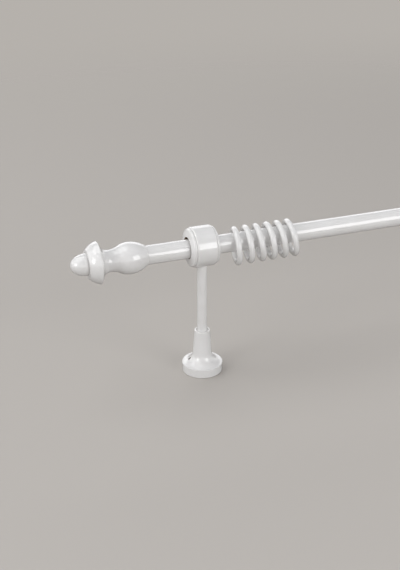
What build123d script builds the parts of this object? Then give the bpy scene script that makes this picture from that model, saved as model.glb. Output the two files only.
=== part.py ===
from build123d import *
import math
import os

# Turned wooden curtain rod in white gloss lacquer: a round pole with a turned finial on each end,
# carried in the ring collars of two long brackets, with six plain wooden rings on the pole.
# Frame: millimetres, +X along the pole, +Z from the mounting plane to the pole, -Y to the viewer.
# Origin: on the mounting plane, midway between the two brackets.

# Pole
pole_dia = 28.0
pole_length = 1000.0
pole_axis_height = 204.0
pole_end_chamfer = 0.3
pole_overhang = 85.5

# Finial, measured along the pole from the end that meets the pole
finial_foot_dia = 28.8
bulb_at = 25.4
bulb_dia = 46.3
bulb_back_radius = 31.0
neck_at = 53.8
neck_dia = 31.9
recess_at = 86.2
recess_dia = 30.0
recess_width = 1.4
dome_dia = 31.7
dome_length = 22.0

# Finial's flange: corners of its outline before they are rounded, and their rounds
flange_back_foot_at = 62.6
flange_crown_at = 70.0
flange_crown_dia = 61.6
flange_belly_at = 79.2
flange_belly_dia = 54.8
flange_lip_dia = 41.0
flange_back_round = 9.0
flange_crown_round = 1.1
flange_belly_round = 30.0
flange_lip_round = 0.3

# Double-ended screw between each finial and the pole
finial_screw_dia = 6.0
finial_screw_length = 50.0
finial_screw_collar_length = 4.0
finial_screw_core_dia = 4.6
finial_screw_tip_length = 7.0
finial_screw_fit = 0.05

# Bracket base
base_dia = 62.0
base_rim_height = 13.5
base_edge_round = 1.0
rim_edge_round = 0.4
flare_radius = 18.0
flare_start_inset = 1.0
cone_foot_dia = 28.8
cone_mouth_dia = 24.0
base_height = 68.5
mouth_dia = 18.4
mouth_depth = 2.0
mouth_round = 1.0
mouth_floor_round = 0.5
socket_depth = 43.0
locking_hole_dia = 5.4
locking_hole_radius = 19.4
locking_hole_azimuth = 163.0
locking_hole_slant = 14.0
pilot_bore_dia = 5.0
pilot_bore_depth = 18.0

# Bracket stem
stem_dia = 15.0
stem_glue_gap = 0.05
stem_in_collar = 10.0
stem_end_chamfer = 0.8

# Bracket collar
collar_dia = 60.0
collar_length = 42.9
collar_offset = 1.25
collar_bore_dia = 31.0
collar_bore_round = 1.0
face_fall = 2.0
step_dia = 56.4
step_length = 3.1
step_round = 2.6
quirk_width = 0.9
quirk_depth = 0.8
quirk_round = 0.2
shoulder_round = 2.0
pole_rest_gap = 0.05

# Rings, placed and leaning as they hang; distances along the pole from the left bracket
ring_wire_dia = 8.6
ring_bore_dia = 41.4
ring_hang_gap = 0.3
ring_places = [51.5, 69.5, 86.5, 104.5, 121.5, 138.5]
ring_leans = [5.0, 7.0, 9.5, 8.0, 10.0, 11.5]
ring_turns = [-10.5, -9.0, -10.0, -7.0, -7.5, -7.0]

pole_radius = pole_dia / 2
bracket_x = pole_length / 2 - pole_overhang
collar_axis_height = pole_axis_height + (collar_bore_dia - pole_dia) / 2 - pole_rest_gap
collar_underside = collar_axis_height - collar_dia / 2
stem_bottom = base_height - mouth_depth - socket_depth + stem_glue_gap
stem_top = collar_underside + stem_in_collar - stem_glue_gap
finial_length = recess_at + recess_width + dome_length
screw_hole_depth = finial_screw_length / 2 + finial_screw_fit

os.makedirs("parts", exist_ok=True)


def turned(outline, axis):
    """Revolve a closed outline drawn in the XZ plane, as on a lathe."""
    return revolve(Plane.XZ * make_face(outline), axis, 360)


def swell():
    """Arcs of the finial's bulb and neck: a rise from the foot, then a tangent S-curve."""
    crest = (bulb_at, bulb_dia / 2)
    rise = (bulb_dia - finial_foot_dia) / 2
    front_radius = (bulb_at**2 + rise**2) / (2 * rise)
    front = JernArc(crest, (-1, 0), front_radius, math.degrees(math.asin(bulb_at / front_radius)))

    run = neck_at - bulb_at
    swing = 2 * math.atan((bulb_dia - neck_dia) / 2 / run)
    neck_radius = run / math.sin(swing) - bulb_back_radius
    back = JernArc(crest, (1, 0), bulb_back_radius, -math.degrees(swing))
    neck = JernArc(back @ 1, back % 1, neck_radius, math.degrees(swing))
    return front + back + neck


def flange():
    """Flange with a hollow steep back, a keen rim and a bellied front that stops at a lip."""
    return FilletPolyline(
        (neck_at, neck_dia / 2),
        (flange_back_foot_at, neck_dia / 2),
        (flange_crown_at, flange_crown_dia / 2),
        (flange_belly_at, flange_belly_dia / 2),
        (recess_at, flange_lip_dia / 2),
        (recess_at, recess_dia / 2),
        radius=[flange_back_round, flange_crown_round, flange_belly_round, flange_lip_round],
    )


def finial_body():
    """Finial with its foot at the origin and its tip on +X, before the screw hole."""
    dome_foot = recess_at + recess_width
    recess = Polyline(
        (recess_at, recess_dia / 2),
        (dome_foot, recess_dia / 2),
        (dome_foot, dome_dia / 2),
    )
    dome = EllipticalCenterArc((dome_foot, 0), dome_length, dome_dia / 2, 0, arc_size=90)
    core = Polyline((finial_length, 0), (0, 0), (0, finial_foot_dia / 2))
    return turned(swell() + flange() + recess + dome + core, Axis.X)


def finial(side):
    """Finial on the pole's left (-1) or right (+1) end, bored for its screw."""
    screw_hole = Pos(screw_hole_depth / 2, 0, 0) * Rot(0, 90, 0) * Cylinder(
        finial_screw_dia / 2 + finial_screw_fit, screw_hole_depth
    )
    body = finial_body() - screw_hole
    if side < 0:
        body = mirror(body, Plane.YZ)
    return Pos(side * pole_length / 2, 0, pole_axis_height) * body


def finial_screw(side):
    """Steel screw, pointed at both ends, half in the finial and half in the pole."""
    half = finial_screw_length / 2
    outline = Polyline(
        (-half, 0),
        (-half + finial_screw_tip_length, finial_screw_core_dia / 2),
        (-finial_screw_collar_length / 2, finial_screw_core_dia / 2),
        (-finial_screw_collar_length / 2, finial_screw_dia / 2),
        (finial_screw_collar_length / 2, finial_screw_dia / 2),
        (finial_screw_collar_length / 2, finial_screw_core_dia / 2),
        (half - finial_screw_tip_length, finial_screw_core_dia / 2),
        (half, 0),
        close=True,
    )
    return Pos(side * pole_length / 2, 0, pole_axis_height) * turned(outline, Axis.X)


def pole():
    """Plain round pole with a screw hole in each end."""
    body = Rot(0, 90, 0) * Cylinder(pole_radius, pole_length)
    body = chamfer(body.edges().filter_by(GeomType.CIRCLE), pole_end_chamfer)
    for side in (-1, 1):
        hole_x = side * (pole_length - screw_hole_depth) / 2
        body -= Pos(hole_x, 0, 0) * Rot(0, 90, 0) * Cylinder(
            finial_screw_dia / 2 + finial_screw_fit, screw_hole_depth
        )
    return Pos(0, 0, pole_axis_height) * body


def bracket_base(side):
    """Turned base: a disc that flares into a tapered column with a recessed mouth."""
    flare_centre_out = cone_foot_dia / 2 + flare_radius
    start_out = base_dia / 2 - flare_start_inset
    flare_top = base_rim_height + math.sqrt(flare_radius**2 - (flare_centre_out - start_out) ** 2)
    flare_start = (start_out, base_rim_height)
    flare_end = (cone_foot_dia / 2, flare_top)
    foot = FilletPolyline(
        (0, 0),
        (base_dia / 2, 0),
        (base_dia / 2, base_rim_height),
        flare_start,
        radius=[base_edge_round, rim_edge_round],
    )
    flare = RadiusArc(flare_start, flare_end, flare_radius)
    mouth = FilletPolyline(
        flare_end,
        (cone_mouth_dia / 2, base_height),
        (mouth_dia / 2, base_height),
        (mouth_dia / 2, base_height - mouth_depth),
        (stem_dia / 2 + stem_glue_gap, base_height - mouth_depth),
        radius=[mouth_round, mouth_round, mouth_floor_round],
    )
    socket_bottom = base_height - mouth_depth - socket_depth
    core = Polyline(
        (stem_dia / 2 + stem_glue_gap, base_height - mouth_depth),
        (stem_dia / 2 + stem_glue_gap, socket_bottom),
        (0, socket_bottom),
        (0, 0),
    )
    body = turned(foot + flare + mouth + core, Axis.Z)

    hole_drop = math.sqrt(flare_radius**2 - (flare_centre_out - locking_hole_radius) ** 2)
    mouth_place = Pos(locking_hole_radius, 0, flare_top - hole_drop) * Rot(0, locking_hole_slant, 0)
    locking_hole = Cylinder(locking_hole_dia / 2, base_height)
    body -= Rot(0, 0, locking_hole_azimuth) * mouth_place * locking_hole
    body -= Pos(0, 0, pilot_bore_depth / 2) * Cylinder(pilot_bore_dia / 2, pilot_bore_depth)
    return Pos(side * bracket_x, 0, 0) * body


def bracket_stem(side):
    """Dowel glued into the base's socket and into the underside of the collar."""
    length = stem_top - stem_bottom
    body = Cylinder(stem_dia / 2, length)
    body = chamfer(body.edges().filter_by(GeomType.CIRCLE), stem_end_chamfer)
    return Pos(side * bracket_x, 0, (stem_top + stem_bottom) / 2) * body


def collar_end():
    """Outline of one end of the collar, from the bore to the main cylinder."""
    lip_x = collar_length / 2
    rim_x = lip_x - face_fall
    quirk_x = rim_x - step_length
    return FilletPolyline(
        (0, collar_bore_dia / 2),
        (lip_x, collar_bore_dia / 2),
        (rim_x, step_dia / 2),
        (quirk_x, step_dia / 2),
        (quirk_x - quirk_width, step_dia / 2 - quirk_depth),
        (quirk_x - quirk_width, collar_dia / 2),
        (0, collar_dia / 2),
        radius=[collar_bore_round, step_round, quirk_round, quirk_round, shoulder_round],
    )


def bracket_collar(side):
    """Turned ring, domed and stepped at each end, drilled from below for the stem.

    The stem enters a little off the middle, so the collar reaches further towards its finial.
    """
    right_end = collar_end()
    left_end = mirror(right_end, Plane.YZ)
    body = turned(right_end + left_end, Axis.X)
    stem_hole = Cylinder(
        stem_dia / 2 + stem_glue_gap,
        collar_dia / 2,
        align=(Align.CENTER, Align.CENTER, Align.MAX),
    )
    body = Pos(side * collar_offset, 0, 0) * body
    body -= Pos(0, 0, stem_in_collar - collar_dia / 2) * stem_hole
    return Pos(side * bracket_x, 0, collar_axis_height) * body


def ring(index):
    """Plain round-section ring hanging on the pole, leaning and turned as it hangs."""
    wire_radius = ring_wire_dia / 2
    centre_radius = ring_bore_dia / 2 + wire_radius
    body = Pos(0, 0, -centre_radius) * Rot(0, 90, 0) * Torus(centre_radius, wire_radius)
    hung = Rot(0, 0, ring_turns[index]) * Rot(0, -ring_leans[index], 0) * body
    hook_height = pole_axis_height + pole_radius + ring_hang_gap + wire_radius
    return Pos(ring_places[index] - bracket_x, 0, hook_height) * hung


sides = {"left": -1, "right": 1}
parts = {"pole": pole()}
for name, side in sides.items():
    parts["finial_" + name] = finial(side)
    parts["finial_screw_" + name] = finial_screw(side)
    parts["bracket_base_" + name] = bracket_base(side)
    parts["bracket_stem_" + name] = bracket_stem(side)
    parts["bracket_collar_" + name] = bracket_collar(side)
for index in range(len(ring_places)):
    parts["ring_" + str(index + 1)] = ring(index)

for node, solid in parts.items():
    export_step(solid, "parts/" + node + ".step")
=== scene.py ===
import math

import bmesh
import bpy
import numpy as np
from mathutils import Matrix, Vector


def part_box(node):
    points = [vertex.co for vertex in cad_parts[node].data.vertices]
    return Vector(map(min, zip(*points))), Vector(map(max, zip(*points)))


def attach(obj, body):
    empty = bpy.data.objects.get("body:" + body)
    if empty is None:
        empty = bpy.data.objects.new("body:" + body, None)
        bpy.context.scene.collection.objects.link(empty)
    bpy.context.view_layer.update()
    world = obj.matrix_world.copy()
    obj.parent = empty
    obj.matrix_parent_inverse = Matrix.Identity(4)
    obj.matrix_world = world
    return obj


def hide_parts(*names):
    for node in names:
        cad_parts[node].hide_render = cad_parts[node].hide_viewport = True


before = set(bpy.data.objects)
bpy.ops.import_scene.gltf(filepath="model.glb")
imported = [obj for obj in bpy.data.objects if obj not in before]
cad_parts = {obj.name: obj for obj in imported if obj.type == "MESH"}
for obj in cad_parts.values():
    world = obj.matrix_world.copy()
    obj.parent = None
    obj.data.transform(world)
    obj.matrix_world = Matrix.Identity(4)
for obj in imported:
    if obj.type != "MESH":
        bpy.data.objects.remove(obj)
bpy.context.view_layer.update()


# Camera. It stands to the left in front of the rod, a little above it, and looks down at the left
# bracket with a long lens. Its place is measured from the middle of that bracket's foot.
camera_from_foot = np.array([-0.4206, -1.0810, 0.6860])
camera_azimuth = math.radians(-21.11)
camera_elevation = math.radians(25.10)
camera_roll = math.radians(-0.22)
camera_lens = 77.7
film_width = 36.0

foot_low, foot_high = (np.array(corner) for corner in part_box("bracket_base_left"))
left_foot = np.array([(foot_low[0] + foot_high[0]) / 2, (foot_low[1] + foot_high[1]) / 2, foot_low[2]])

backward = np.array([
    math.sin(camera_azimuth) * math.cos(camera_elevation),
    -math.cos(camera_azimuth) * math.cos(camera_elevation),
    math.sin(camera_elevation),
])
level_right = np.cross(-backward, (0, 0, 1))
level_right /= np.linalg.norm(level_right)
level_up = np.cross(level_right, -backward)
right = math.cos(camera_roll) * level_right + math.sin(camera_roll) * level_up
up = math.cos(camera_roll) * level_up - math.sin(camera_roll) * level_right
camera_pose = np.eye(4)
camera_pose[:3, 0], camera_pose[:3, 1], camera_pose[:3, 2] = right, up, backward
camera_pose[:3, 3] = left_foot + camera_from_foot

camera_data = bpy.data.cameras.new("camera")
camera_data.sensor_fit = "HORIZONTAL"
camera_data.sensor_width = film_width
camera_data.lens = camera_lens
camera = bpy.data.objects.new("camera", camera_data)
bpy.context.scene.collection.objects.link(camera)
camera.matrix_world = Matrix(camera_pose.tolist())
bpy.context.scene.camera = camera
bpy.context.scene.view_settings.view_transform = "Standard"


# Room. A plain pale floor fades into a plain backdrop, under a surround that is bright at the horizon and
# dim overhead. Soft lamps stand to the left, above and behind, and a broad one to the front right draws
# the bright band along the pole.
floor_reach = 12.0
floor_drop = 0.0001
floor_fades_from, floor_fades_to = 0.8, 3.4
floor_colour = (0.560, 0.532, 0.500, 1)
bounced_floor_colour = (0.30, 0.28, 0.26, 1)
surround_low = (1.30, 1.29, 1.28, 1)
surround_high = (0.23, 0.23, 0.24, 1)
surround_high_at = 0.6
seen_surround = (0.465, 0.44, 0.412, 1)
lamp_aim_height = 0.15
lamp_aim = left_foot + np.array([0.0, 0.0, lamp_aim_height])


def lamp(name, azimuth, elevation, distance, width, height, brightness, shape="RECTANGLE"):
    """Flat soft lamp. It stands at that azimuth (0 in front, positive to the right) and elevation,
    turned to the bracket. Its power is brightness * pi * area, so brightness is what a mirror shows."""
    data = bpy.data.lights.new(name, "AREA")
    data.shape = shape
    data.size = width
    data.size_y = height
    data.energy = brightness * math.pi * width * height * (math.pi / 4 if shape == "ELLIPSE" else 1)
    stand = bpy.data.objects.new(name, data)
    bpy.context.scene.collection.objects.link(stand)
    azimuth, elevation = math.radians(azimuth), math.radians(elevation)
    outward = Vector((
        math.sin(azimuth) * math.cos(elevation),
        -math.cos(azimuth) * math.cos(elevation),
        math.sin(elevation),
    ))
    turned = outward.to_track_quat("Z", "Y").to_matrix().to_4x4()
    stand.matrix_world = Matrix.Translation(Vector(lamp_aim) + outward * distance) @ turned
    stand.visible_camera = False


lamp("front_lamp", azimuth=29, elevation=17, distance=2.4, width=1.22, height=1.28, brightness=3.05)
lamp("left_lamp", azimuth=-71, elevation=18, distance=2.4, width=0.82, height=0.96, brightness=3.7,
     shape="ELLIPSE")
lamp("left_wall", azimuth=-88, elevation=34, distance=6.4, width=8.40, height=5.20, brightness=0.80)
lamp("top_lamp", azimuth=-120, elevation=66, distance=5.2, width=4.00, height=4.00, brightness=1.50)
lamp("back_lamp", azimuth=165, elevation=25, distance=7.0, width=6.50, height=3.30, brightness=1.20)

floor_mesh = bpy.data.meshes.new("floor")
floor_mesh.from_pydata(
    [(x, y, -floor_drop) for x, y in ((-1, -1), (1, -1), (1, 1), (-1, 1))], [], [(0, 1, 2, 3)]
)
floor_mesh.transform(Matrix.Diagonal((floor_reach, floor_reach, 1, 1)))
floor = bpy.data.objects.new("floor", floor_mesh)
bpy.context.scene.collection.objects.link(floor)
floor_finish = bpy.data.materials.new("pale_floor")
floor_finish.use_nodes = True
floor_nodes, floor_links = floor_finish.node_tree.nodes, floor_finish.node_tree.links
floor_nodes.clear()
floor_shades = []
for colour in (bounced_floor_colour, floor_colour):
    shade = floor_nodes.new("ShaderNodeBsdfDiffuse")
    shade.inputs["Color"].default_value = colour
    floor_shades.append(shade)
floor_path = floor_nodes.new("ShaderNodeLightPath")
floor_mix = floor_nodes.new("ShaderNodeMixShader")
floor_out = floor_nodes.new("ShaderNodeOutputMaterial")
floor_links.new(floor_path.outputs["Is Camera Ray"], floor_mix.inputs[0])
floor_links.new(floor_shades[0].outputs["BSDF"], floor_mix.inputs[1])
floor_links.new(floor_shades[1].outputs["BSDF"], floor_mix.inputs[2])
floor_place = floor_nodes.new("ShaderNodeTexCoord")
floor_distance = floor_nodes.new("ShaderNodeVectorMath")
floor_distance.operation = "LENGTH"
floor_fade = floor_nodes.new("ShaderNodeMapRange")
floor_fade.interpolation_type = "SMOOTHSTEP"
floor_fade.inputs["From Min"].default_value = floor_fades_from
floor_fade.inputs["From Max"].default_value = floor_fades_to
floor_seen_fade = floor_nodes.new("ShaderNodeMath")
floor_seen_fade.operation = "MULTIPLY"
floor_clear = floor_nodes.new("ShaderNodeBsdfTransparent")
floor_end = floor_nodes.new("ShaderNodeMixShader")
floor_links.new(floor_place.outputs["Object"], floor_distance.inputs[0])
floor_links.new(floor_distance.outputs["Value"], floor_fade.inputs["Value"])
floor_links.new(floor_fade.outputs["Result"], floor_seen_fade.inputs[0])
floor_links.new(floor_path.outputs["Is Camera Ray"], floor_seen_fade.inputs[1])
floor_links.new(floor_seen_fade.outputs["Value"], floor_end.inputs[0])
floor_links.new(floor_mix.outputs["Shader"], floor_end.inputs[1])
floor_links.new(floor_clear.outputs["BSDF"], floor_end.inputs[2])
floor_links.new(floor_end.outputs["Shader"], floor_out.inputs["Surface"])
floor_mesh.materials.append(floor_finish)

surround = bpy.data.worlds.new("surround")
bpy.context.scene.world = surround
surround.use_nodes = True
sky = surround.node_tree
sky.nodes.clear()
sky_coordinates = sky.nodes.new("ShaderNodeTexCoord")
sky_split = sky.nodes.new("ShaderNodeSeparateXYZ")
sky_ramp = sky.nodes.new("ShaderNodeValToRGB")
sky_ramp.color_ramp.elements[0].color = surround_low
sky_ramp.color_ramp.elements[1].color = surround_high
sky_ramp.color_ramp.elements[1].position = surround_high_at
sky_light = sky.nodes.new("ShaderNodeBackground")
sky_seen = sky.nodes.new("ShaderNodeBackground")
sky_seen.inputs["Color"].default_value = seen_surround
sky_path = sky.nodes.new("ShaderNodeLightPath")
sky_mix = sky.nodes.new("ShaderNodeMixShader")
sky_out = sky.nodes.new("ShaderNodeOutputWorld")
sky.links.new(sky_coordinates.outputs["Generated"], sky_split.inputs["Vector"])
sky.links.new(sky_split.outputs["Z"], sky_ramp.inputs["Fac"])
sky.links.new(sky_ramp.outputs["Color"], sky_light.inputs["Color"])
sky.links.new(sky_path.outputs["Is Camera Ray"], sky_mix.inputs["Fac"])
sky.links.new(sky_light.outputs["Background"], sky_mix.inputs[1])
sky.links.new(sky_seen.outputs["Background"], sky_mix.inputs[2])
sky.links.new(sky_mix.outputs["Shader"], sky_out.inputs["Surface"])


# Bracket bases. Each is one piece of wood turned on a lathe: a thick disc that flares into a tapered
# column, with a recessed mouth for the stem. It screws on to a hidden hanger screw, and one slim screw
# through the flare stops it from turning. It is lacquered white, and stands on the floor.
millimetre = 0.001
negligible = 1e-6
base_dia = 62.0
base_rim_height = 13.5
base_edge_round = 1.0
rim_edge_round = 0.4
flare_radius = 18.0
flare_start_inset = 1.0
flare_steps_outside_hole = 10
flare_steps_inside_hole = 8
cone_foot_dia = 28.8
cone_mouth_dia = 24.0
base_height = 68.5
mouth_dia = 18.4
mouth_depth = 2.0
mouth_round = 1.0
mouth_floor_round = 0.5
socket_bottom = 23.5
stem_hole_dia = 15.1
pilot_bore_dia = 5.0
pilot_bore_round = 0.3
pilot_bore_depth = 18.0
socket_spray_depth = 1.0
pilot_spray_depth = 0.5
around_base = 192

# The slanted locking hole, and the patch of cells round it that is meshed anew.
locking_hole_dia = 5.4
locking_hole_radius = 19.4
locking_hole_azimuth = math.radians(163.0)
locking_hole_slant = math.radians(14.0)
locking_hole_round = 0.45
locking_lip_edge = 0.6
# Share of the dark bare-wood colour on the locking hole's lacquered wall: painted shade.
locking_wall_shade = 0.5
locking_patch_reach = 3.9
locking_patch_cells = 18
locking_spread_steps = 4
locking_round_steps = 4
locking_wall_steps = 16
reach_steps = 40
reach_slope = 1.25

# How outlines are divided, and what counts as a keen or a sharp edge. A side shorter than
# undivided_spacings row spacings stays whole, and a longer one gets crowding_rows more than fit.
keen_length = 0.8
undivided_spacings = 1.4
crowding_rows = 3
sharp_from = math.radians(50.0)


def eased(corners, steps=7, spacing=1.5):
    """Outline through corners given as (along, out, round), in millimetres.

    A round of radius r leaves each side at r / tan(h) from the corner, h being half the angle between the
    sides, and turns about the point r / sin(h) along their bisector. Its spokes are the first one times
    sin((1 - t) s) plus the last one times sin(t s), over sin(s), s being the whole turn."""
    corners = np.asarray(corners, float)
    runs = [corners[:1, :2]]
    for before, corner, after in zip(corners, corners[1:], corners[2:]):
        here, radius = corner[:2], corner[2]
        if radius == 0:
            runs.append(here[None])
            continue
        back = (before[:2] - here) / np.linalg.norm(before[:2] - here)
        onward = (after[:2] - here) / np.linalg.norm(after[:2] - here)
        half = math.acos(np.clip(back @ onward, -1, 1)) / 2
        centre = here + (back + onward) / np.linalg.norm(back + onward) * radius / math.sin(half)
        first = here + back * radius / math.tan(half) - centre
        last = here + onward * radius / math.tan(half) - centre
        sweep = math.pi - 2 * half
        turn = np.linspace(0, 1, steps + 1)[:, None]
        spokes = np.sin((1 - turn) * sweep) * first + np.sin(turn * sweep) * last
        runs.append(centre + spokes / math.sin(sweep))
    runs.append(corners[-1:, :2])
    return divided(np.concatenate(runs), spacing)


def divided(rows, spacing):
    """The same outline with its long sides divided. Each row lies at (1 - cos(pi t)) / 2 of its side, which
    crowds the rows next to the corners."""
    pieces = []
    for start, end in zip(rows, rows[1:]):
        length = np.linalg.norm(end - start)
        if length < negligible:
            continue
        count = 1
        if length >= undivided_spacings * spacing:
            count = math.ceil(length / spacing) + crowding_rows
        share = (1 - np.cos(np.pi * np.arange(count) / count))[:, None] / 2
        pieces.append(start + (end - start) * share)
    pieces.append(rows[-1:])
    return np.concatenate(pieces)


def arc(centre, radius, start, end, steps):
    """Rows on a circle's arc: centre + radius * (cos a, sin a), a from start to end in degrees."""
    angle = np.radians(np.linspace(start, end, steps + 1))
    return np.stack([centre[0] + radius * np.cos(angle), centre[1] + radius * np.sin(angle)], 1)


def arris(rows, closed=False):
    """How sharply each row of an outline turns: the turn there divided by the length that it takes, times
    keen_length. Outside edges are positive and inside corners are negative, both kept within 1."""
    ahead = np.roll(rows, -1, 0) - rows
    behind = rows - np.roll(rows, 1, 0)
    length = (np.linalg.norm(ahead, axis=1) + np.linalg.norm(behind, axis=1)) / 2
    cross = behind[:, 0] * ahead[:, 1] - behind[:, 1] * ahead[:, 0]
    turn = np.arctan2(cross, (behind * ahead).sum(1))
    following = np.roll(rows, -1, 0)
    area = (rows[:, 0] * following[:, 1] - following[:, 0] * rows[:, 1]).sum()
    sharpness = np.clip(np.sign(area) * turn / length * keen_length, -1, 1)
    if not closed:
        sharpness[[0, -1]] = 0
    return sharpness


def cells(index):
    """Quads between the neighbouring rows and columns of an index grid."""
    return np.stack([index[:-1, :-1], index[1:, :-1], index[1:, 1:], index[:-1, 1:]], 2)


def lathe(rows, azimuths, closed=False):
    """Surface of revolution about Z. Row (along, out) at azimuth a is (out cos a, out sin a, along); a row
    on the axis is one point. Returns the points, the index grid, and the faces as quads and triangles."""
    along, out = rows[:, 0], rows[:, 1]
    grid = np.stack([
        out[:, None] * np.cos(azimuths),
        out[:, None] * np.sin(azimuths),
        np.repeat(along[:, None], len(azimuths), 1),
    ], 2)
    index = np.arange(grid.shape[0] * grid.shape[1]).reshape(grid.shape[:2])
    if closed:
        index = np.concatenate([index, index[:1]])
    first = 1 if out[0] < negligible and not closed else 0
    last = len(index) - 1 if out[-1] < negligible and not closed else len(index)
    body = np.concatenate([index[first:last], index[first:last, :1]], 1)
    fans = []
    for tip_row, rim_row in ((0, first), (len(index) - 1, last - 1)):
        if tip_row != rim_row:
            rim = body[rim_row - first]
            fans.append(np.stack([np.full(len(rim) - 1, index[tip_row, 0]), rim[:-1], rim[1:]], 1))
    triangles = np.concatenate(fans) if fans else np.zeros((0, 3), int)
    return grid.reshape(-1, 3), index, cells(body), triangles


def solid_piece(name, points, quads, triangles, looks, finish, body, nodes):
    """Mesh object from points in millimetres. Unused points are dropped, the faces are turned outwards,
    and the looks, which are named values per point, are kept as attributes that the material reads."""
    corners = np.concatenate([quads.reshape(-1), triangles.reshape(-1)])
    used, renumbered = np.unique(corners, return_inverse=True)
    split = quads.size
    faces = renumbered[:split].reshape(-1, 4).tolist() + renumbered[split:].reshape(-1, 3).tolist()
    mesh = bpy.data.meshes.new(name)
    mesh.from_pydata((points[used] * millimetre).tolist(), [], faces)
    for look, values in looks.items():
        kept = mesh.attributes.new(look, "FLOAT", "POINT")
        kept.data.foreach_set("value", values[used].astype(np.float32))
    shell = bmesh.new()
    shell.from_mesh(mesh)
    bmesh.ops.recalc_face_normals(shell, faces=shell.faces)
    shell.to_mesh(mesh)
    shell.free()
    mesh.shade_smooth()
    mesh.set_sharp_from_angle(angle=sharp_from)
    mesh.materials.append(finish)
    made = bpy.data.objects.new(name, mesh)
    bpy.context.scene.collection.objects.link(made)
    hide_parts(*nodes)
    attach(made, body)


def noise(tree, place, scale, detail):
    """Noise read at a place, with so many lumps to the metre and so much finer detail in them."""
    made = tree.nodes.new("ShaderNodeTexNoise")
    made.inputs["Scale"].default_value = scale
    made.inputs["Detail"].default_value = detail
    tree.links.new(place, made.inputs["Vector"])
    return made.outputs["Fac"]


def kept_look(tree, look):
    """A look that solid_piece has kept on the mesh."""
    made = tree.nodes.new("ShaderNodeAttribute")
    made.attribute_name = look
    return made.outputs["Fac"]


def ranged(tree, value, before, after):
    """The value moved evenly from one range to another, and kept within it."""
    made = tree.nodes.new("ShaderNodeMapRange")
    made.inputs["From Min"].default_value, made.inputs["From Max"].default_value = before
    made.inputs["To Min"].default_value, made.inputs["To Max"].default_value = after
    tree.links.new(value, made.inputs["Value"])
    return made.outputs["Result"]


def shaded(tree, value, colours, ends):
    """Colour that goes from the first to the second while the value goes from one end to the other."""
    made = tree.nodes.new("ShaderNodeValToRGB")
    for stop, colour, end in zip(made.color_ramp.elements, colours, ends):
        stop.position = end
        stop.color = colour
    tree.links.new(value, made.inputs["Fac"])
    return made.outputs["Color"]


def mixed(tree, share, colour, other):
    """The colour with a share of the other, which is plain or comes from a node."""
    made = tree.nodes.new("ShaderNodeMix")
    made.data_type = "RGBA"
    tree.links.new(share, made.inputs["Factor"])
    tree.links.new(colour, made.inputs["A"])
    if isinstance(other, tuple):
        made.inputs["B"].default_value = other
    else:
        tree.links.new(other, made.inputs["B"])
    return made.outputs["Result"]


def computed(tree, operation, *terms):
    """A sum or product of terms, each of which is a number or comes from a node."""
    made = tree.nodes.new("ShaderNodeMath")
    made.operation = operation
    for socket, term in zip(made.inputs, terms):
        if isinstance(term, float):
            socket.default_value = term
        else:
            tree.links.new(term, socket)
    return made.outputs["Value"]


# The lacquer. Of each pair of ranges, the first says between which values of a look an effect grows, and
# the second from what to what.
undercoat_specular = 0.12
gloss_roughness = 0.04
gloss_ior = 1.7
white_colours = ((0.850, 0.845, 0.838, 1), (0.880, 0.877, 0.874, 1))
white_cloud_ends = (0.35, 0.65)
thin_coat_colour = (0.84, 0.815, 0.775, 1)
thin_coat_edges, thin_coat_shares = (0.25, 1.0), (0.0, 0.35)
# Painted shade: keen inside corners and grooves are greyed towards this colour.
corner_shade_colour = (0.36, 0.345, 0.33, 1)
corner_shade_edges, corner_shade_shares = (-0.3, -1.0), (0.0, 0.55)
undercoat_clouds, undercoat_roughness = (0.3, 0.7), (0.30, 0.42)
# Bare wood where the spray doesn't reach. Its dark brown is partly real bare wood and partly painted shade
# for the deep inside of the bores.
bare_wood_and_shade_colours = ((0.115, 0.080, 0.055, 1), (0.215, 0.155, 0.105, 1))
bare_wood_roughness = 0.45
fibre_scale, fibre_detail = 1100.0, 3.0
fibre_stretch = 14
fibre_height = 0.45
peel_scale, peel_detail = 420.0, 1.5
cloud_scale, cloud_detail = 38.0, 4.0
relief_depth = 0.00002


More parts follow.
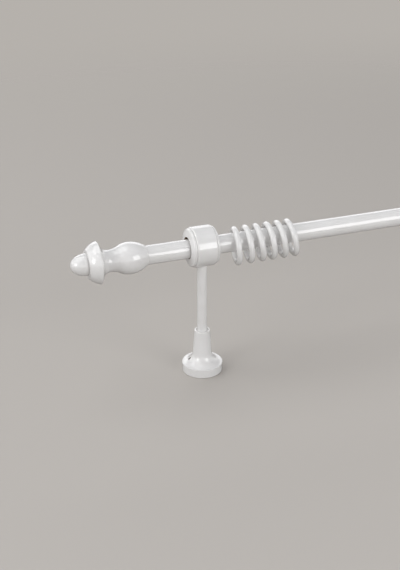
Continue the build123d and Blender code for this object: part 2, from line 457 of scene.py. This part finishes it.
def lacquer(name, grain, bored=False):
    """White gloss lacquer sprayed over turned wood whose grain runs along axis 0, 1 or 2.

    The colour varies a little from place to place, warms where the coat thins on an outside edge, and
    is greyed in a keen inside corner as painted shade. The relief is fibre lines, fibre_stretch times as
    long as they are wide, under the fine orange peel of the spray. On a bored piece a kept attribute is 1
    where the spray doesn't reach, and there the wood is dull and dark brown, which is also painted shade."""
    finish = bpy.data.materials.new(name)
    finish.use_nodes = True
    tree = finish.node_tree
    nodes, links = tree.nodes, tree.links
    shader = nodes["Principled BSDF"]
    shader.inputs["Specular IOR Level"].default_value = undercoat_specular
    shader.inputs["Coat Roughness"].default_value = gloss_roughness
    shader.inputs["Coat IOR"].default_value = gloss_ior

    place = nodes.new("ShaderNodeTexCoord").outputs["Object"]
    stretch = nodes.new("ShaderNodeMapping")
    lengthways = [1.0, 1.0, 1.0]
    lengthways[grain] = 1 / fibre_stretch
    stretch.inputs["Scale"].default_value = lengthways
    links.new(place, stretch.inputs["Vector"])
    fibres = noise(tree, stretch.outputs["Vector"], fibre_scale, fibre_detail)
    peel = noise(tree, place, peel_scale, peel_detail)
    clouds = noise(tree, place, cloud_scale, cloud_detail)

    edge = kept_look(tree, "edge")
    thinned = ranged(tree, edge, thin_coat_edges, thin_coat_shares)
    # Painted shade: how far a keen inside corner is greyed.
    corner_shaded = ranged(tree, edge, corner_shade_edges, corner_shade_shares)
    colour = shaded(tree, clouds, white_colours, white_cloud_ends)
    colour = mixed(tree, thinned, colour, thin_coat_colour)
    colour = mixed(tree, corner_shaded, colour, corner_shade_colour)
    roughness = ranged(tree, clouds, undercoat_clouds, undercoat_roughness)
    if bored:
        # The dark bare wood, which is also painted shade inside the bores.
        bare_and_shaded = kept_look(tree, "bare_and_shaded")
        colour = mixed(tree, bare_and_shaded, colour, shaded(tree, fibres, bare_wood_and_shade_colours, (0, 1)))
        roughness = computed(tree, "MULTIPLY_ADD", bare_and_shaded, bare_wood_roughness, roughness)
        links.new(computed(tree, "SUBTRACT", 1.0, bare_and_shaded), shader.inputs["Coat Weight"])
    else:
        shader.inputs["Coat Weight"].default_value = 1.0
    links.new(colour, shader.inputs["Base Color"])
    links.new(roughness, shader.inputs["Roughness"])

    bump = nodes.new("ShaderNodeBump")
    bump.inputs["Strength"].default_value = 1.0
    bump.inputs["Distance"].default_value = relief_depth
    links.new(computed(tree, "MULTIPLY_ADD", fibres, fibre_height, peel), bump.inputs["Height"])
    links.new(bump.outputs["Normal"], shader.inputs["Normal"])
    links.new(bump.outputs["Normal"], shader.inputs["Coat Normal"])
    return finish


def flare_height(out):
    """Height of the flare's surface at a distance from the axis: the lower left part of a circle whose
    centre stands flare_radius outside the column's foot."""
    centre_out = cone_foot_dia / 2 + flare_radius
    start_out = base_dia / 2 - flare_start_inset
    centre_height = base_rim_height + math.sqrt(flare_radius**2 - (centre_out - start_out) ** 2)
    return centre_height - np.sqrt(np.clip(flare_radius**2 - (centre_out - out) ** 2, 0, None))


def base_outline():
    """Outline of the base from the top of its pilot bore, under the disc, up the flare and the column, and
    down into the socket. The rows that the locking hole's patches replace are evenly spaced."""
    offsets = np.linspace(locking_patch_reach, -locking_patch_reach, locking_patch_cells + 1)
    patch_out = locking_hole_radius + offsets
    foot_hole_out = locking_hole_radius - flare_height(locking_hole_radius) * math.tan(locking_hole_slant)
    foot_out = foot_hole_out - offsets
    flare_start = base_dia / 2 - flare_start_inset
    bore = eased([
        (pilot_bore_depth, 0, 0),
        (pilot_bore_depth, pilot_bore_dia / 2, 0),
        (0, pilot_bore_dia / 2, pilot_bore_round),
        (0, foot_out[0], 0),
    ])
    under = np.stack([np.zeros_like(foot_out), foot_out], 1)
    rim = eased([
        (0, foot_out[-1], 0),
        (0, base_dia / 2, base_edge_round),
        (base_rim_height, base_dia / 2, rim_edge_round),
        (base_rim_height, flare_start, 0),
    ])
    outer_out = np.linspace(flare_start, patch_out[0], flare_steps_outside_hole + 1)
    outer = np.stack([flare_height(outer_out), outer_out], 1)
    patch = np.stack([flare_height(patch_out), patch_out], 1)
    centre_out = cone_foot_dia / 2 + flare_radius
    start_angle = math.acos((centre_out - patch_out[-1]) / flare_radius)
    centre_height = flare_height(centre_out) + flare_radius
    angles = np.linspace(start_angle, 0, flare_steps_inside_hole + 1)
    inner = np.stack([
        centre_height - flare_radius * np.sin(angles),
        centre_out - flare_radius * np.cos(angles),
    ], 1)
    column = eased([
        (centre_height, cone_foot_dia / 2, 0),
        (base_height, cone_mouth_dia / 2, mouth_round),
        (base_height, mouth_dia / 2, mouth_round),
        (base_height - mouth_depth, mouth_dia / 2, mouth_floor_round),
        (base_height - mouth_depth, stem_hole_dia / 2, 0),
        (socket_bottom, stem_hole_dia / 2, 0),
        (socket_bottom, 0, 0),
    ])
    rows = np.concatenate([bore[:-1], under[:-1], rim[:-1], outer[:-1], patch[:-1], inner[:-1], column])
    under_start = len(bore) - 1
    patch_start = under_start + len(under) - 1 + len(rim) - 1 + len(outer) - 1
    return rows, under_start, patch_start


def border_of(block):
    """Indices once round the border of a block of grid points."""
    return np.concatenate([block[0, :-1], block[:-1, -1], block[-1, :0:-1], block[:0:-1, 0]])


# The locking hole's own directions. Its axis leans outwards by its slant, and across and sideways are
# square to it.
hole_outward = np.array([math.cos(locking_hole_azimuth), math.sin(locking_hole_azimuth), 0])
hole_sideways = np.array([-hole_outward[1], hole_outward[0], 0])
hole_axis = hole_outward * math.sin(locking_hole_slant) + (0, 0, math.cos(locking_hole_slant))
hole_across = np.cross(hole_sideways, hole_axis)
hole_mouth = hole_outward * locking_hole_radius + (0, 0, float(flare_height(locking_hole_radius)))


def hole_point(bearing, radius, along):
    """Points at a bearing round the hole's axis, a distance from it, and a distance along it."""
    spoke = np.cos(bearing)[:, None] * hole_across + np.sin(bearing)[:, None] * hole_sideways
    return hole_mouth + spoke * np.reshape(radius, (-1, 1)) + along[:, None] * hole_axis


def hole_reach(bearing, radius, height):
    """How far along the hole's axis the surface height(out) lies, at a bearing and a radius. Each step moves
    on by the height still missing, divided by reach_slope, about how much of it a millimetre makes up."""
    along = np.zeros_like(bearing)
    for _ in range(reach_steps):
        there = hole_point(bearing, radius, along)
        along += (height(np.hypot(there[:, 0], there[:, 1])) - there[:, 2]) / reach_slope
    return along


def drilled_base(side):
    """The base with its slanted locking hole. The block of cells round the hole is taken out of the lathe's
    grid, above and below. In its place, rings of points run from the block's border to the hole, each
    point keeping its bearing round the hole's axis and lying on the surface, then over a small round.
    Down the wall the bearing and the distance along the axis change evenly."""
    rows, under_start, patch_start = base_outline()
    middle = around_base // 2
    azimuths = locking_hole_azimuth + 2 * np.pi * (np.arange(around_base) - middle) / around_base
    points, index, quads, triangles = lathe(rows, azimuths)
    half = locking_patch_cells // 2
    keep = np.ones(quads.shape[:2], bool)
    for start in (under_start, patch_start):
        # The outline's first row is a point on the axis, so the first row of quads belongs to its second.
        keep[start - 1:start - 1 + locking_patch_cells, middle - half:middle + half] = False

    hole_radius = locking_hole_dia / 2
    lip_radius = hole_radius + locking_hole_round
    block_columns = middle - half + np.arange(locking_patch_cells + 1)
    block_rows = np.arange(locking_patch_cells + 1)
    top_block = index[patch_start + block_rows][:, block_columns]
    foot_block = index[under_start + block_rows[::-1]][:, block_columns]
    rings, borders, bearings, reaches = [], [], [], []
    for block, height, way in ((top_block, flare_height, 1), (foot_block, np.zeros_like, -1)):
        border = border_of(block)
        outer = points[border] - hole_mouth
        across, sideways = outer @ hole_across, outer @ hole_sideways
        bearing = np.arctan2(sideways, across)
        distance = np.hypot(across, sideways)
        level = []
        for share in np.linspace(0, 1, locking_spread_steps + 1)[1:]:
            radius = distance + (lip_radius - distance) * share
            level.append(hole_point(bearing, radius, hole_reach(bearing, radius, height)))
        for angle in np.radians(np.linspace(0, 90, locking_round_steps + 1)[1:]):
            radius = hole_radius + locking_hole_round * (1 - math.sin(angle))
            along = hole_reach(bearing, radius, height) - way * locking_hole_round * (1 - math.cos(angle))
            level.append(hole_point(bearing, radius, along))
        rings.append(level)
        borders.append(border)
        bearings.append(bearing)
        reaches.append(along)
    turned = (bearings[1] - bearings[0] + np.pi) % (2 * np.pi) - np.pi
    lowered = reaches[1] - reaches[0]
    wall = [
        hole_point(bearings[0] + turned * share, hole_radius, reaches[0] + lowered * share)
        for share in np.linspace(0, 1, locking_wall_steps + 1)[1:-1]
    ]
    levels = rings[0] + wall + rings[1][::-1]
    added = np.concatenate(levels)
    count = len(borders[0])
    added_index = len(points) + np.arange(len(added)).reshape(-1, count)
    chain = np.concatenate([borders[0][None], added_index, borders[1][None]])
    chain = np.concatenate([chain, chain[:, :1]], 1)
    quads = np.concatenate([quads[keep], cells(chain).reshape(-1, 4)])

    wall_from = locking_spread_steps + locking_round_steps
    # Painted shade: the middle of the locking hole's wall gets part of the dark bare-wood colour.
    edge_level, wall_shade_level = np.zeros(len(levels)), np.zeros(len(levels))
    edge_level[locking_spread_steps - 1:wall_from] = locking_lip_edge
    wall_shade_level[wall_from:-wall_from] = locking_wall_shade
    # The base's bores show the dark bare wood, which is also painted shade.
    in_bores = np.hypot(points[:, 0], points[:, 1]) < mouth_dia / 2
    in_bores &= points[:, 2] > pilot_spray_depth
    in_bores &= points[:, 2] < base_height - mouth_depth - socket_spray_depth
    looks = {
        "edge": np.concatenate([np.repeat(arris(rows), around_base), np.repeat(edge_level, count)]),
        "bare_and_shaded": np.concatenate([in_bores.astype(float), np.repeat(wall_shade_level, count)]),
    }
    low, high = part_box("bracket_base_" + side)
    points = np.concatenate([points, added])
    points[:, 0] += (low[0] + high[0]) / 2 / millimetre
    points[:, 1] += (low[1] + high[1]) / 2 / millimetre
    return points, quads, triangles, looks


rod_body = "rod_and_brackets"
base_lacquer = lacquer("white_lacquer_base", grain=2, bored=True)
for side in ("left", "right"):
    points, quads, triangles, looks = drilled_base(side)
    solid_piece("turned_base_" + side, points, quads, triangles, looks, base_lacquer,
                rod_body, ["bracket_base_" + side])


# Bracket stems. Each is a plain dowel, glued into the base's socket and into a hole in the underside of
# the collar, and lacquered with them.
stem_dia = 15.0
stem_end_chamfer = 0.8
stem_row_spacing = 5.0
around_stem = 96


def node_middle(node):
    """Middle of a CAD node's box, in millimetres."""
    low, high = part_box(node)
    return (np.array(low) + np.array(high)) / 2 / millimetre


def node_reach(node, axis):
    """Lowest and highest value of a CAD node along one axis, in millimetres."""
    low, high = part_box(node)
    return low[axis] / millimetre, high[axis] / millimetre


def all_round(count):
    """Azimuths once round the axis, in even steps."""
    return 2 * np.pi * np.arange(count) / count


stem_lacquer = lacquer("white_lacquer_stem", grain=2)
for side in ("left", "right"):
    node = "bracket_stem_" + side
    bottom, top = node_reach(node, 2)
    rows = eased([
        (bottom, 0, 0),
        (bottom, stem_dia / 2 - stem_end_chamfer, 0),
        (bottom + stem_end_chamfer, stem_dia / 2, 0),
        (top - stem_end_chamfer, stem_dia / 2, 0),
        (top, stem_dia / 2 - stem_end_chamfer, 0),
        (top, 0, 0),
    ], spacing=stem_row_spacing)
    points, _, quads, triangles = lathe(rows, all_round(around_stem))
    middle = node_middle(node)
    points += (middle[0], middle[1], 0)
    looks = {"edge": np.repeat(arris(rows), around_stem)}
    solid_piece("dowel_stem_" + side, points, quads, triangles, looks, stem_lacquer,
                rod_body, [node])


# Bracket collars. Each is a turned ring with a domed step at each end, set off by a fine groove. The stem
# is glued into its underside, and the pole lies loose in its bore, which is wider than the pole.
collar_dia = 60.0
collar_length = 42.9
collar_bore_dia = 31.0
collar_bore_round = 1.0
# How far past the bore the dark bare wood reaches. The bore's dark is also painted shade.
collar_bare_and_shaded_past_bore = 0.45
face_fall = 2.0
step_dia = 56.4
step_length = 3.1
step_round = 2.6
quirk_width = 0.9
quirk_depth = 0.8
quirk_round = 0.2
shoulder_round = 2.0
around_collar = 224


def along_x(points):
    """Turns a surface made about Z so that its axis lies along X."""
    return points[:, [2, 0, 1]]


lip_along = collar_length / 2
rim_along = lip_along - face_fall
quirk_along = rim_along - step_length
collar_end = [
    (lip_along, collar_bore_dia / 2, collar_bore_round),
    (rim_along, step_dia / 2, step_round),
    (quirk_along, step_dia / 2, quirk_round),
    (quirk_along - quirk_width, step_dia / 2 - quirk_depth, quirk_round),
    (quirk_along - quirk_width, collar_dia / 2, shoulder_round),
]
collar_corners = (
    [(0, collar_bore_dia / 2, 0)]
    + collar_end
    + [(-along, out, radius) for along, out, radius in reversed(collar_end)]
    + [(0, collar_bore_dia / 2, 0)]
)
collar_rows = eased(collar_corners)[:-1]
collar_lacquer = lacquer("white_lacquer_collar", grain=2, bored=True)
for side in ("left", "right"):
    node = "bracket_collar_" + side
    points, _, quads, triangles = lathe(collar_rows, all_round(around_collar), closed=True)
    points = along_x(points) + node_middle(node)
    in_bore = collar_rows[:, 1] < collar_bore_dia / 2 + collar_bare_and_shaded_past_bore
    looks = {
        "edge": np.repeat(arris(collar_rows, closed=True), around_collar),
        "bare_and_shaded": np.repeat(in_bore.astype(float), around_collar),
    }
    solid_piece("turned_collar_" + side, points, quads, triangles, looks, collar_lacquer,
                rod_body, [node])


# Pole. A plain round wooden pole, lacquered white, with a hole in each end for the finial's screw. It lies
# loose in the bores of the two collars.
screw_hole_dia = 6.1
screw_hole_depth = 25.05
pole_dia = 28.0
pole_end_chamfer = 0.3
pole_row_spacing = 9.0
around_pole = 160

pole_left, pole_right = node_reach("pole", 0)
pole_middle = node_middle("pole")
pole_corners = [
    (pole_left + screw_hole_depth, 0, 0),
    (pole_left + screw_hole_depth, screw_hole_dia / 2, 0),
    (pole_left, screw_hole_dia / 2, 0),
    (pole_left, pole_dia / 2, pole_end_chamfer),
]
pole_corners += [(-along, out, radius) for along, out, radius in reversed(pole_corners)]
pole_rows = eased(pole_corners, spacing=pole_row_spacing)
points, _, quads, triangles = lathe(pole_rows, all_round(around_pole))
points = along_x(points) + (0, pole_middle[1], pole_middle[2])
pole_lacquer = lacquer("white_lacquer_pole", grain=0, bored=True)
# The screw holes show the dark bare wood, which is also painted shade.
in_screw_hole = pole_rows[:, 1] < screw_hole_dia
looks = {
    "edge": np.repeat(arris(pole_rows), around_pole),
    "bare_and_shaded": np.repeat(in_screw_hole.astype(float), around_pole),
}
solid_piece("round_pole", points, quads, triangles, looks, pole_lacquer,
            rod_body, ["pole"])


# Finials. Each is one turned piece: a swollen bulb that draws in to a neck, a wide keen-edged flange with
# a hollow back and a bellied front, a narrow recess, and an acorn dome. It is lacquered before it is
# screwed on.
finial_foot_dia = 28.8
finial_foot_round = 0.3
finial_foot_cone = 0.8
bulb_row_clearance = 0.1
bulb_at = 25.4
bulb_dia = 46.3
bulb_back_radius = 31.0
neck_at = 53.8
neck_dia = 31.9
flange_back_foot_at = 62.6
flange_back_round = 13.0
flange_crown_at = 70.0
flange_crown_dia = 61.6
flange_crown_round = 1.1
flange_belly_at = 79.2
flange_belly_dia = 54.8
flange_belly_round = 30.0
flange_lip_dia = 41.0
flange_lip_round = 0.35
recess_at = 86.2
recess_dia = 30.0
recess_width = 1.4
recess_round = 0.25
dome_dia = 31.7
dome_length = 22.0
bulb_front_steps = 26
bulb_back_steps = 18
neck_steps = 14
flange_round_steps = 14
dome_steps = 30
around_finial = 208


def finial_outline():
    """Outline of the finial from its foot to its tip. The bulb's front is a circle of radius
    (a * a + h * h) / (2 h) for a run a and a rise h, its back a circle of the given radius that meets
    the neck's circle at the same slope, and the dome a quarter of an ellipse."""
    rise = (bulb_dia - finial_foot_dia) / 2
    front_radius = (bulb_at**2 + rise**2) / (2 * rise)
    front_sweep = math.degrees(math.asin(bulb_at / front_radius))
    cone_rise = finial_foot_cone * math.tan(math.radians(front_sweep))
    foot = eased([
        (screw_hole_depth, 0, 0),
        (screw_hole_depth, screw_hole_dia / 2, 0),
        (0, screw_hole_dia / 2, 0),
        (0, finial_foot_dia / 2, finial_foot_round),
        (finial_foot_cone, finial_foot_dia / 2 + cone_rise, 0),
    ])
    front_centre = (bulb_at, bulb_dia / 2 - front_radius)
    front = arc(front_centre, front_radius, 90 + front_sweep, 90, bulb_front_steps)
    front = front[front[:, 0] > finial_foot_cone + bulb_row_clearance]
    run = neck_at - bulb_at
    swing = 2 * math.degrees(math.atan((bulb_dia - neck_dia) / 2 / run))
    neck_radius = run / math.sin(math.radians(swing)) - bulb_back_radius
    back_centre = (bulb_at, bulb_dia / 2 - bulb_back_radius)
    back = arc(back_centre, bulb_back_radius, 90, 90 - swing, bulb_back_steps)
    neck = arc((neck_at, neck_dia / 2 + neck_radius), neck_radius, 270 - swing, 270, neck_steps)

    dome_foot = recess_at + recess_width
    flange = eased([
        (neck_at, neck_dia / 2, 0),
        (flange_back_foot_at, neck_dia / 2, flange_back_round),
        (flange_crown_at, flange_crown_dia / 2, flange_crown_round),
        (flange_belly_at, flange_belly_dia / 2, flange_belly_round),
        (recess_at, flange_lip_dia / 2, flange_lip_round),
        (recess_at, recess_dia / 2, recess_round),
        (dome_foot, recess_dia / 2, recess_round),
        (dome_foot, dome_dia / 2, 0),
    ], steps=flange_round_steps)
    angle = np.radians(np.linspace(0, 90, dome_steps + 1))
    dome = np.stack([dome_foot + dome_length * np.sin(angle), dome_dia / 2 * np.cos(angle)], 1)
    dome[-1, 1] = 0
    return np.concatenate([foot, front, back[1:], neck[1:-1], flange[:-1], dome])


finial_lacquer = lacquer("white_lacquer_finial", grain=0)
finial_rows = finial_outline()
for side, way in (("left", -1), ("right", 1)):
    node = "finial_" + side
    points, _, quads, triangles = lathe(finial_rows, all_round(around_finial))
    points = along_x(points)
    points[:, 0] = way * (points[:, 0] + pole_right)
    middle = node_middle(node)
    points += (0, middle[1], middle[2])
    looks = {"edge": np.repeat(arris(finial_rows), around_finial)}
    solid_piece("turned_finial_" + side, points, quads, triangles, looks, finial_lacquer,
                rod_body, [node])


# Finial screws. A zinc-plated steel screw with a wood thread at both ends joins each finial to the pole.
# It is hidden in their holes.
screw_dia = 6.0
screw_core_dia = 4.4
screw_length = 50.0
screw_pitch = 2.2
screw_shank_half = 2.0
screw_tip = 7.0
screw_tip_bluntness = 0.7
thread_width = 0.55
thread_runout = 1.2
screw_steps = 330
around_screw = 48
zinc_colours = ((0.50, 0.50, 0.48, 1), (0.68, 0.69, 0.70, 1))
zinc_roughness = (0.25, 0.45)
zinc_scale, zinc_detail = 600.0, 2.0


def threaded_radius(along, azimuth):
    """Radius of the screw: its core, plus a ridge that is highest where along / pitch - azimuth / (2 pi) is
    half past a whole number and thread_width of a pitch wide. Both taper to a point over the tip, and the
    short shank in the middle is plain."""
    reach = np.abs(along)
    phase = (along / screw_pitch - azimuth / (2 * np.pi)) % 1.0
    ridge = np.clip(1 - np.abs(phase - 0.5) * 2 / thread_width, 0, 1)
    taper = np.clip((screw_length / 2 - reach) / screw_tip, 0, 1) ** screw_tip_bluntness
    fade = np.clip((reach - screw_shank_half) / thread_runout, 0, 1)
    thread = (screw_core_dia / 2 + (screw_dia - screw_core_dia) / 2 * ridge * fade) * taper
    return np.where(reach <= screw_shank_half, screw_dia / 2, thread)


steel = bpy.data.materials.new("zinc_plated_steel")
steel.use_nodes = True
steel_tree = steel.node_tree
steel_shader = steel_tree.nodes["Principled BSDF"]
steel_shader.inputs["Metallic"].default_value = 1.0
steel_place = steel_tree.nodes.new("ShaderNodeTexCoord").outputs["Object"]
spangle = noise(steel_tree, steel_place, zinc_scale, zinc_detail)
steel_tree.links.new(shaded(steel_tree, spangle, zinc_colours, (0, 1)), steel_shader.inputs["Base Color"])
steel_tree.links.new(ranged(steel_tree, spangle, (0, 1), zinc_roughness), steel_shader.inputs["Roughness"])

for side in ("left", "right"):
    node = "finial_screw_" + side
    along = np.linspace(-screw_length / 2, screw_length / 2, screw_steps + 1)
    azimuths = all_round(around_screw)
    unit_out = np.r_[0, np.ones(len(along) - 2), 0]
    points, _, quads, triangles = lathe(np.stack([along, unit_out], 1), azimuths)
    radius = threaded_radius(points[:, 2], np.tile(azimuths, len(along)))
    points[:, :2] *= radius[:, None]
    points = along_x(points) + node_middle(node)
    solid_piece("threaded_screw_" + side, points, quads, triangles, {}, steel,
                rod_body, [node])


# Curtain rings. Six plain rings of round section, turned from wood and lacquered. They hang loose on the
# pole, each leaning and turned a little its own way.
ring_wire_dia = 8.6
ring_bore_dia = 41.4
ring_leans = [5.0, 7.0, 9.5, 8.0, 10.0, 11.5]
ring_turns = [-10.5, -9.0, -10.0, -7.0, -7.5, -7.0]
around_ring = 192
around_wire = 48


def hung_ring(lean, turn):
    """Torus: ((R + r cos b) times the direction a in the ring's plane) + r sin b along its axis. It is then
    tilted about Y by the lean and about Z by the turn."""
    wire = ring_wire_dia / 2
    centre = ring_bore_dia / 2 + wire
    a, b = np.meshgrid(all_round(around_ring), all_round(around_wire), indexing="ij")
    out = centre + wire * np.cos(b)
    points = np.stack([wire * np.sin(b), out * np.sin(a), out * np.cos(a)], 2).reshape(-1, 3)
    tilt = np.array(Matrix.Rotation(math.radians(-lean), 3, "Y"))
    swing = np.array(Matrix.Rotation(math.radians(turn), 3, "Z"))
    index = np.arange(around_ring * around_wire).reshape(around_ring, around_wire)
    index = np.pad(index, ((0, 1), (0, 1)), mode="wrap")
    return points @ (swing @ tilt).T, cells(index)


ring_lacquer = lacquer("white_lacquer_ring", grain=1)
for number, (lean, turn) in enumerate(zip(ring_leans, ring_turns), 1):
    node = "ring_%d" % number
    points, quads = hung_ring(lean, turn)
    points = points + node_middle(node)
    solid_piece("curtain_ring_%d" % number, points, quads, np.zeros((0, 3), int), {}, ring_lacquer,
                "ring_%d_body" % number, [node])
